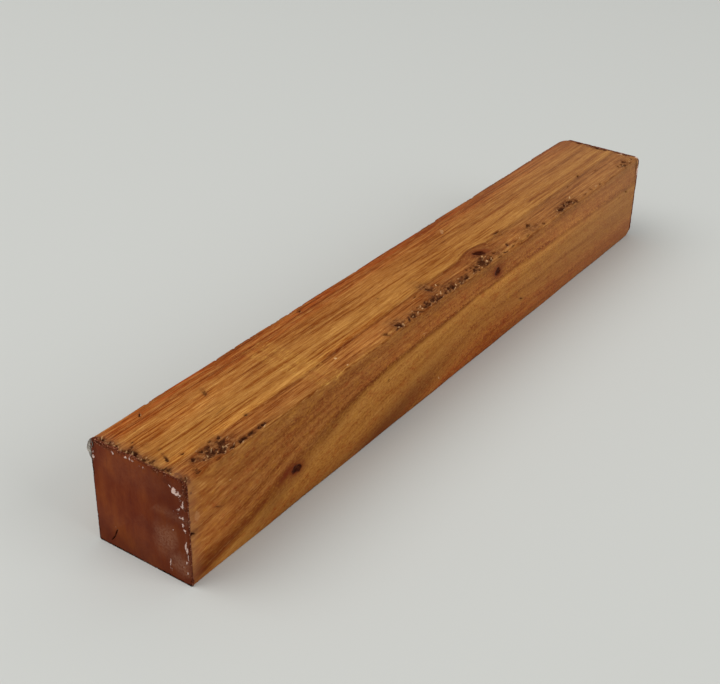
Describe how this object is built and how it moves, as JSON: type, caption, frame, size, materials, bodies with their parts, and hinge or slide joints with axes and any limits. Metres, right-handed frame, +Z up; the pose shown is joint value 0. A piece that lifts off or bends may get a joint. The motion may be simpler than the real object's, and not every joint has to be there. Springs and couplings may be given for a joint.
{
  "type": "canarywood spindle blank",
  "caption": "Square stick of sawn canarywood with wax-sealed ends, a torn arris and pin knots, for turning between centres.",
  "frame": {"origin": "middle of the face that the stick lies on", "axes": "+X along the stick from the marked end to the far end, +Z up, and the torn arris joins the +Z face to the -Y face"},
  "size_m": [0.3052, 0.0407, 0.0382],
  "materials": {
    "wood": "satin",
    "wax": "satin"
  },
  "bodies": {
    "root": {"wood_blank": "wood", "marked_end_wax": "wax", "far_end_wax": "wax"}
  },
  "joints": []
}
